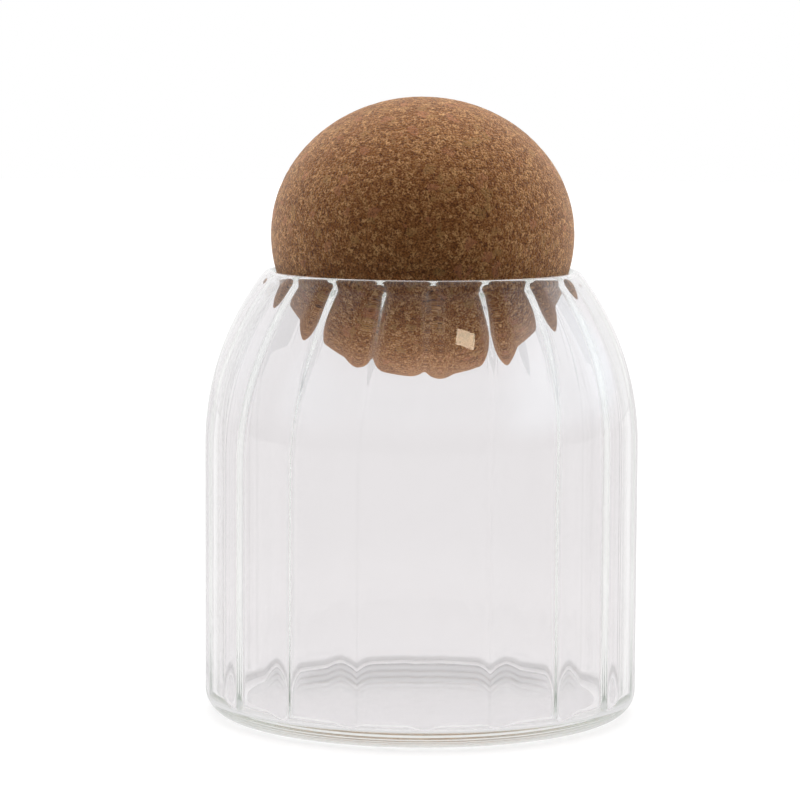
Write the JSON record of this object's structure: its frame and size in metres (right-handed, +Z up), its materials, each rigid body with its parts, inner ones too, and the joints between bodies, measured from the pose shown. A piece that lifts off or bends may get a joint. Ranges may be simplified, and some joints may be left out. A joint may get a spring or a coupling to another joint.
{
  "type": "glass jar with cork lid",
  "caption": "Straight-walled clear glass storage jar with inner ribs and a domed shoulder, closed by a pressed cork ball that lies in its mouth.",
  "frame": {"origin": "centre of the ring that the jar stands on, on the table", "axes": "+Z up along the axis of the jar, +X to the right and +Y away from the viewer as in the picture"},
  "size_m": [0.1, 0.1, 0.1423],
  "materials": {
    "clear_glass": "gloss",
    "pressed_cork": "matte"
  },
  "bodies": {
    "jar": {"glass_jar": "clear_glass"},
    "lid": {"cork_lid": "pressed_cork"}
  },
  "joints": [
    {"name": "lid_lift", "type": "slide", "parent": "jar", "child": "lid", "axis": [0, 0, 1], "range_m": [0, 0.12]}
  ]
}
